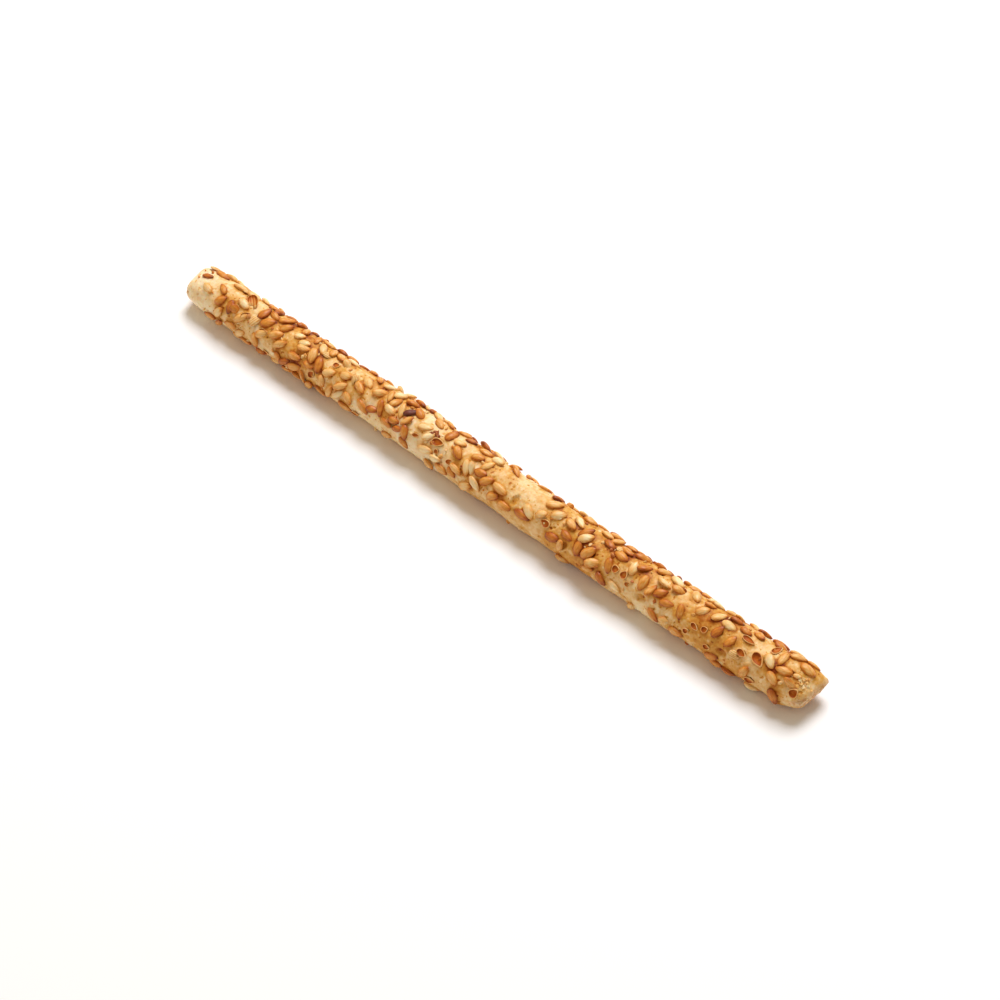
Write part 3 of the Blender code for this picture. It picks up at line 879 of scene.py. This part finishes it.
def scattered_chips(name, count, sizes, rise, roasts, spot, draw):
    """One piece of many chips; spot(draw) gives the distance along and angle around of each."""
    chip_copies = []
    while len(chip_copies) < count:
        along, around_deg = spot(draw)
        heading, roll = (draw.uniform(-math.pi, math.pi) for _ in range(2))
        size, roast, chance = draw.uniform(*sizes), draw.uniform(*roasts), draw.random()
        stuck = chance < cover_at(along, around_deg) + CHIP_EXTRA_COVER
        if stuck and abs(around_deg) < CHIP_LIMIT_DEG:
            place = resting_place(along, math.radians(around_deg), heading, rise, 0, roll, size)
            chip_copies.append(copy_to(chip, place, roast=roast))
    return joined(name, chip_copies)


def heaped_chips(spots, count, radius, sizes, rise, roasts):
    """A list of pieces, each a heap of chips around one of the spots."""
    return [
        scattered_chips(
            "heap", count, sizes, rise, roasts,
            lambda draw: (
                x * MM + draw.gauss(0, radius / 2),
                turn + math.degrees(draw.gauss(0, radius / 2) / STRAND_RADIUS),
            ),
            random.Random(FIRST_HEAP_DRAW + number),
        )
        for number, (x, turn) in enumerate(spots)
    ]


# %% Scatter the crumbs and heap the scorched bits
CRUMB_COUNT, CRUMB_SIZES, CRUMB_RISE, CRUMB_ROASTS = 300, (0.5 * MM, 1.35 * MM), 0.1 * MM, (0.1, 0.9)
CRUMB_DRAW = 19
CRUMB_END = 0.49  # how far from the middle the crumbs lie, as a share of the stick's length
# Heaps seen in the real one: distance along in mm, angle around in degrees.
SEEN_PALE_HEAPS = ((78, 13), (-63.4, 57))
SEEN_HEAPS = ((32.2, 0), (-11.7, 8), (-62, 40))
# How many chips a heap has, its radius, and the chips' sizes, rise and roasts.
PALE_HEAP = (50, 1.5 * MM, (0.4 * MM, 1.1 * MM), -0.04 * MM, (0.1, 0.5))
SCORCHED_HEAP = (7, 1.3 * MM, (0.7 * MM, 1.5 * MM), 0.16 * MM, CRUMB_ROASTS)

loose_crumbs = scattered_chips(
    "loose_crumbs", CRUMB_COUNT, CRUMB_SIZES, CRUMB_RISE, CRUMB_ROASTS,
    lambda draw: (draw.uniform(-CRUMB_END, CRUMB_END) * STICK_LENGTH, draw.uniform(-180, 180)),
    random.Random(CRUMB_DRAW),
)
seed_crumbs = joined("seed_crumbs", [loose_crumbs] + heaped_chips(SEEN_PALE_HEAPS, *PALE_HEAP))
scorched_bits = joined("scorched_bits", heaped_chips(SEEN_HEAPS, *SCORCHED_HEAP))
for piece in (seed_crumbs, scorched_bits):
    print(piece.name, "has", len(piece.data.polygons), "faces")

for leftover in (*masters, flake, chip):
    bpy.data.objects.remove(leftover)

# %% [markdown]
# ## Colours and finishes
#
# The colours are written as the hex values that a picture shows. A shader needs them linear, and one
# function does that for all of them. Another adds a node with its settings and links. A pattern's
# scale comes from a real size in millimetres.


# %% Helpers for materials
def linear(hex_colour):
    """A hex sRGB colour as the linear RGBA that shaders work with."""
    shares = [int(hex_colour[k:k + 2], 16) / 255 for k in (1, 3, 5)]
    return [s / 12.92 if s <= 0.04045 else ((s + 0.055) / 1.055) ** 2.4 for s in shares] + [1.0]


def add_node(tree, kind, settings=None, stops=(), **links):
    """Adds a node with its settings, the stops of its ramp, and its links.

    A link is named as the input, with _ for a space, or _ and the input's number. Its value is a
    number or colour, one output of a node, or a node, whose first output is then used.
    """
    node = tree.nodes.new(kind)
    for name, value in (settings or {}).items():
        setattr(node, name, value)
    for number, (position, hex_colour) in enumerate(stops):
        elements = node.color_ramp.elements
        element = elements[number] if number < 2 else elements.new(position)
        element.position, element.color = position, linear(hex_colour)
    for name, value in links.items():
        socket = node.inputs[int(name[1:]) if name[0] == "_" else name.replace("_", " ")]
        if isinstance(value, bpy.types.Node):
            value = value.outputs[0]
        if isinstance(value, bpy.types.NodeSocket):
            tree.links.new(value, socket)
        else:
            socket.default_value = value
    return node


def start_material(name):
    """A new material with its node tree and its shader."""
    material = bpy.data.materials.new(name)
    material.use_nodes = True
    return material, material.node_tree, material.node_tree.nodes["Principled BSDF"]


def repeats(size):
    """The scale at which a noise texture's patches are about this many metres wide."""
    return 0.5 / size


print("mid grey is", round(linear("#808080")[0], 3), "in linear light")

# %% [markdown]
# ### Baked crust
#
# Crisp bread is starch and gluten that dried to a matt shell. Where the dough stood proud to the heat
# it browned to gold, where it was shaded it stayed the cream of flour, and the oil of the seeds left a
# deeper orange around them. Next to each seed, and most in the crevices between two, painted shade
# darkens the crust further. The side that lay on the belt browned too. Light goes a little way into the
# shell, which makes it glow, so it has some subsurface scattering.
#
# It could be painted by hand, but a sum says it more simply: one number tells how brown each spot is.
# It adds up noise at three sizes, dark flecks and specks of flour, how near the top, the back and each
# end is, and the notes on the corners. A ramp turns the number into a colour.

# %% Patterns and places on the crust
crust, tree, shader = start_material("baked_crust")
place = add_node(tree, "ShaderNodeTexCoord").outputs["Object"]
axes = add_node(tree, "ShaderNodeSeparateXYZ", Vector=place)
seed_oil_and_shade, crevice_shade, pit, torn, underneath = (
    add_node(tree, "ShaderNodeAttribute", {"attribute_name": name}).outputs["Fac"] for name in NOTES
)
patches = add_node(tree, "ShaderNodeTexNoise", Vector=place, Scale=repeats(9 * MM), Detail=2.0)
mottle = add_node(tree, "ShaderNodeTexNoise", Vector=place, Scale=repeats(1.5 * MM), Detail=4.0)
speckle = add_node(tree, "ShaderNodeTexNoise", Vector=place, Scale=repeats(0.4 * MM), Detail=2.0)
fleck_noise, flour_noise = (
    add_node(
        tree, "ShaderNodeTexNoise", {"noise_dimensions": "4D"},
        Vector=place, W=other_pattern, Scale=repeats(size), Detail=1.0
    )
    for other_pattern, size in ((3.0, 0.35 * MM), (7.0, 0.6 * MM))
)
flecks = add_node(tree, "ShaderNodeMapRange", Value=fleck_noise, _1=0.64, _2=0.72, _3=0.0, _4=1.0)
flour = add_node(tree, "ShaderNodeMapRange", Value=flour_noise, _1=0.6, _2=0.72, _3=0.0, _4=1.0)
towards_top = add_node(
    tree, "ShaderNodeMapRange", Value=axes.outputs["Z"], _1=1.5 * MM, _2=8.5 * MM, _3=0.0, _4=1.0
)
towards_back = add_node(
    tree, "ShaderNodeMapRange", Value=axes.outputs["Y"], _1=-4 * MM, _2=3.5 * MM, _3=0.0, _4=1.0
)
far_end, near_end = (
    add_node(tree, "ShaderNodeMapRange", Value=axes.outputs["X"], _1=start, _2=stop, _3=0.0, _4=1.0)
    for start, stop in ((-56 * MM, -74 * MM), (62 * MM, 78 * MM))
)
print("baked_crust has", len(tree.nodes), "nodes so far")

# %% How brown the crust is, with painted shade next to the seeds
PATCHES_SHARE, MOTTLE_SHARE, SPECKLE_SHARE = 1.2, 0.7, 0.5
# The shares next to a seed and in a crevice are painted shade where the seeds shade the crust; next to
# a seed it is also the oil's deeper orange.
BROWN_AND_SHADE = (
    (patches, PATCHES_SHARE), (mottle, MOTTLE_SHARE), (speckle, SPECKLE_SHARE),
    (flecks, 0.3), (flour, -0.2),
    (towards_top, 0.1), (towards_back, 0.02), (far_end, -0.18), (near_end, 0.14),
    (underneath, 0.36), (seed_oil_and_shade, 0.2), (crevice_shade, 0.42), (pit, 0.35),
)
USUAL_BROWN = 0.22
# Half of each noise's share comes off at the start, because noise averages a half.
brown_and_shade = USUAL_BROWN - (PATCHES_SHARE + MOTTLE_SHARE + SPECKLE_SHARE) / 2
for source, weight in BROWN_AND_SHADE:
    brown_and_shade = add_node(
        tree, "ShaderNodeMath", {"operation": "MULTIPLY_ADD"}, _0=source, _1=weight, _2=brown_and_shade
    )
print(len(BROWN_AND_SHADE), "shares of brown")

# %% The crust's colours and surface
crust_colour = add_node(tree, "ShaderNodeValToRGB", Fac=brown_and_shade, stops=(
    (0.0, "#f6e3bc"), (0.25, "#efcb92"), (0.5, "#da9f46"), (0.75, "#b76914"), (1.0, "#843300"),
))
crumb_colour = add_node(tree, "ShaderNodeValToRGB", Fac=speckle, stops=(
    (0.35, "#d69b60"), (0.6, "#f2cfa0"),
))
shell_colour = add_node(
    tree, "ShaderNodeMix", {"data_type": "RGBA"}, _0=torn, _6=crust_colour, _7=crumb_colour
)
tree.links.new(shell_colour.outputs[2], shader.inputs["Base Color"])
shader.inputs["Roughness"].default_value = 0.5
shader.inputs["IOR"].default_value = 1.45
shader.inputs["Specular IOR Level"].default_value = 0.25
shader.inputs["Subsurface Weight"].default_value = 0.2
shader.inputs["Subsurface Radius"].default_value = (1.0, 0.45, 0.15)
shader.inputs["Subsurface Scale"].default_value = 0.8 * MM
surface = add_node(
    tree, "ShaderNodeMath", {"operation": "MULTIPLY_ADD"}, _0=mottle, _1=0.6, _2=speckle
)
bump = add_node(tree, "ShaderNodeBump", Height=surface, Strength=0.8, Distance=0.22 * MM)
tree.links.new(bump.outputs["Normal"], shader.inputs["Normal"])
bread.data.materials.append(crust)
print("baked_crust has", len(tree.nodes), "nodes")

# %% [markdown]
# ### Roasted seed
#
# A hulled sesame seed is smooth and oily, so it is glossier than the bread. Roasting takes it from
# ivory through straw and gold to chestnut, and it goes darkest at its point and along its rim, where it
# is thinnest. The darker rim is also painted shade, which leaves the middle of each seed paler. The
# ramp is read at the seed's own roast, shifted by those two, by mottles and by faint ridges that run
# lengthwise. One material serves all the seeds, because their roast is a note on the mesh. The
# scorched bits and the dark seed are the same surface with ramps of their own.

# %% The seeds' materials
ROAST_STOPS = (
    (0.0, "#f7e0b0"), (0.25, "#eebe76"), (0.5, "#da8f34"), (0.75, "#b86018"), (1.0, "#78340c"),
)
SCORCHED_STOPS = ((0.0, "#b0683a"), (0.5, "#74392a"), (1.0, "#36150f"))
CHARRED_STOPS = ((0.0, "#dc9a58"), (0.5, "#b9662c"), (1.0, "#7c3413"))
SEED_MOTTLE_SHARE, SEED_RIDGE_SHARE, POINT_SHARE, RIM_ROAST_AND_SHADE_SHARE = 0.55, 0.4, 0.2, 0.3
POINT_STEEPNESS, OUTLINE_STEEPNESS = 6.0, 3.0


def seed_material(name, stops, roughness):
    material, tree, shader = start_material(name)
    place = add_node(tree, "ShaderNodeTexCoord").outputs["Object"]
    roast, tip, rim, side = (
        add_node(tree, "ShaderNodeAttribute", {"attribute_name": attribute}).outputs["Fac"]
        for attribute in ("roast", "tip", "rim", "side")
    )
    mottle = add_node(tree, "ShaderNodeTexNoise", Vector=place, Scale=repeats(0.9 * MM), Detail=3.0)
    lengthwise = add_node(tree, "ShaderNodeCombineXYZ", X=side, Y=tip, Z=roast)
    ridges = add_node(tree, "ShaderNodeTexNoise", Vector=lengthwise, Scale=3.0, Detail=1.0)
    # The outline's darkening is partly roast at the thin rim and partly painted shade, which leaves the
    # middle of each seed paler.
    point, outline = (
        add_node(tree, "ShaderNodeMath", {"operation": "POWER"}, _0=note, _1=steepness)
        for note, steepness in ((tip, POINT_STEEPNESS), (rim, OUTLINE_STEEPNESS))
    )
    shade = -0.5 * (SEED_MOTTLE_SHARE + SEED_RIDGE_SHARE)
    for source, weight in (
        (roast, 1.0), (mottle, SEED_MOTTLE_SHARE), (ridges, SEED_RIDGE_SHARE),
        (point, POINT_SHARE), (outline, RIM_ROAST_AND_SHADE_SHARE),
    ):
        shade = add_node(
            tree, "ShaderNodeMath", {"operation": "MULTIPLY_ADD"}, _0=source, _1=weight, _2=shade
        )
    colour = add_node(tree, "ShaderNodeValToRGB", Fac=shade, stops=stops)
    tree.links.new(colour.outputs[0], shader.inputs["Base Color"])
    shader.inputs["Roughness"].default_value = roughness
    shader.inputs["IOR"].default_value = 1.47
    shader.inputs["Specular IOR Level"].default_value = 0.4
    shader.inputs["Subsurface Weight"].default_value = 0.15
    shader.inputs["Subsurface Radius"].default_value = (1.0, 0.45, 0.12)
    shader.inputs["Subsurface Scale"].default_value = 0.5 * MM
    relief = add_node(
        tree, "ShaderNodeMath", {"operation": "MULTIPLY_ADD"}, _0=ridges, _1=0.8, _2=mottle
    )
    bump = add_node(tree, "ShaderNodeBump", Height=relief, Strength=0.6, Distance=0.2 * MM)
    tree.links.new(bump.outputs["Normal"], shader.inputs["Normal"])
    return material


roasted_seed = seed_material("roasted_seed", ROAST_STOPS, 0.42)
scorched_seed = seed_material("scorched_seed", SCORCHED_STOPS, 0.42)
scorched_husk = seed_material("scorched_husk", CHARRED_STOPS, 0.5)
for item in (seeds, seed_crumbs):
    item.data.materials.append(roasted_seed)
dark_seeds.data.materials.append(scorched_seed)
scorched_bits.data.materials.append(scorched_husk)
print([finish.name for finish in (roasted_seed, scorched_seed, scorched_husk)])

# %% [markdown]
# ### Dry husk
#
# The husk is the seed's papery skin. Its rim and outside dried to a pale tan, and down inside, where
# the seed's oil soaked in and burnt on, it is a deep orange brown. Paper hardly shines, so its
# specular level is low, and a wave texture gives it the few soft ribs that run lengthwise.

# %% The husks' material
HUSK_SHADE, HUSK_MOTTLE_SHARE, HUSK_RIDGE_SHARE, HOLLOW_SHARE = 0.12, 0.7, 0.3, 0.8
dry_husk, tree, shader = start_material("dry_husk")
place = add_node(tree, "ShaderNodeTexCoord").outputs["Object"]
hollow, side, tip = (
    add_node(tree, "ShaderNodeAttribute", {"attribute_name": name}).outputs["Fac"]
    for name in ("hollow", "side", "tip")
)
mottle = add_node(tree, "ShaderNodeTexNoise", Vector=place, Scale=repeats(0.6 * MM), Detail=3.0)
lengthwise = add_node(tree, "ShaderNodeCombineXYZ", X=side, Y=tip)
ridges = add_node(
    tree, "ShaderNodeTexWave", {"bands_direction": "X"},
    Vector=lengthwise, Scale=0.75, Distortion=2.5, Detail=1.0, Phase_Offset=math.pi / 2
)
shade = HUSK_SHADE - 0.5 * (HUSK_MOTTLE_SHARE + HUSK_RIDGE_SHARE)
for source, weight in (
    (mottle, HUSK_MOTTLE_SHARE), (ridges, HUSK_RIDGE_SHARE), (hollow, HOLLOW_SHARE)
):
    shade = add_node(
        tree, "ShaderNodeMath", {"operation": "MULTIPLY_ADD"}, _0=source, _1=weight, _2=shade
    )
husk_colour = add_node(tree, "ShaderNodeValToRGB", Fac=shade, stops=(
    (0.0, "#eec88c"), (0.3, "#d99a4e"), (0.6, "#bf6416"), (1.0, "#8f3e08"),
))
tree.links.new(husk_colour.outputs[0], shader.inputs["Base Color"])
shader.inputs["Roughness"].default_value = 0.5
shader.inputs["Specular IOR Level"].default_value = 0.15
shader.inputs["Subsurface Weight"].default_value = 0.15
shader.inputs["Subsurface Radius"].default_value = (1.0, 0.5, 0.2)
shader.inputs["Subsurface Scale"].default_value = 0.3 * MM
bump = add_node(tree, "ShaderNodeBump", Height=ridges, Strength=0.4, Distance=0.12 * MM)
tree.links.new(bump.outputs["Normal"], shader.inputs["Normal"])
for item in (open_husks, husk_flakes):
    item.data.materials.append(dry_husk)
print("dry_husk has", len(tree.nodes), "nodes")

# %% [markdown]
# ## Join the pieces to the solid
#
# All these pieces together stand for the one plain solid, so each of them replaces it.

# %% Ride and replace
pieces = (bread, seeds, dark_seeds, open_husks, husk_flakes, scorched_bits, seed_crumbs)
for item in pieces:
    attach(item, "root")
    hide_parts("breadstick")
print(len(pieces), "pieces replace the plain solid")

# %% [markdown]
# ## Floor, light and camera
#
# The stick lies on a plain white floor. A large soft lamp from above and behind gives the seeds
# their highlights, a warm surround fills the shadows, and a weak warm lamp from the front left stands
# for light that a room throws back. A sun lamp would be simpler, but its shadows would be too hard.

# %% The floor
bpy.ops.object.select_all(action="DESELECT")
bpy.ops.mesh.primitive_plane_add(size=4)
floor = bpy.context.object
floor.name = "floor"
paper, tree, shader = start_material("white_paper")
shader.inputs["Base Color"].default_value = linear("#fafcff")
shader.inputs["Roughness"].default_value = 0.8
floor.data.materials.append(paper)
print("the floor is", round(floor.dimensions.x, 1), "m wide")

# %% The lights
world = bpy.data.worlds.new("surround")
world.use_nodes = True
world.node_tree.nodes["Background"].inputs["Color"].default_value = (1.0, 0.87, 0.68, 1)
world.node_tree.nodes["Background"].inputs["Strength"].default_value = 0.4
bpy.context.scene.world = world
# Name, place, size, watts and colour. They all point at the stick's middle.
LAMPS = (
    ("key", (-0.2, 0.5, 0.85), 0.5, 10.2, (0.98, 0.99, 1.03)),
    ("warm_fill", (-0.45, -0.55, 0.3), 0.5, 0.6, (1.0, 0.62, 0.3)),
)
for name, position, size, watts, colour in LAMPS:
    lamp = bpy.data.lights.new(name, "AREA")
    lamp.size, lamp.energy, lamp.color = size, watts, colour
    holder = bpy.data.objects.new(name, lamp)
    holder.location = position
    holder.rotation_euler = (-Vector(position)).to_track_quat("-Z", "Y").to_euler()
    bpy.context.scene.collection.objects.link(holder)
print(len(LAMPS), "lamps")

# %% [markdown]
# The camera looks down on the stick from half beside and half before its near end. Its place is worked
# out from two angles and a distance, so that it can be matched to a picture one number at a time.

# %% The camera
AZIMUTH, ELEVATION = math.radians(41), math.radians(50.8)
CAMERA_DISTANCE = 504 * MM
LENS, SENSOR = 92.5, 36.0  # in mm, as on a real camera
STICK_MIDDLE = Vector((0, axis_offset(0), 4.225 * MM))
AIM_RIGHT, AIM_UP = 3.147 * MM, -4.959 * MM  # from the stick's middle to the middle of the picture

rightward = Vector((math.cos(AZIMUTH), math.sin(AZIMUTH), 0))
level = math.cos(ELEVATION)
backward = Vector((math.sin(AZIMUTH) * level, -math.cos(AZIMUTH) * level, math.sin(ELEVATION)))
upward = backward.cross(rightward)
camera = bpy.data.objects.new("camera", bpy.data.cameras.new("camera"))
camera.data.lens, camera.data.sensor_width, camera.data.clip_start = LENS, SENSOR, 0.01
stance = Matrix((rightward, upward, backward)).transposed().to_4x4()
stance.translation = (
    STICK_MIDDLE + rightward * AIM_RIGHT + upward * AIM_UP + backward * CAMERA_DISTANCE
)
camera.matrix_world = stance
bpy.context.scene.collection.objects.link(camera)
bpy.context.scene.camera = camera
bpy.context.scene.view_settings.view_transform = "Standard"
print("the camera is", round(stance.translation.length, 3), "m from the origin")

# %% Finish
bpy.context.view_layer.update()
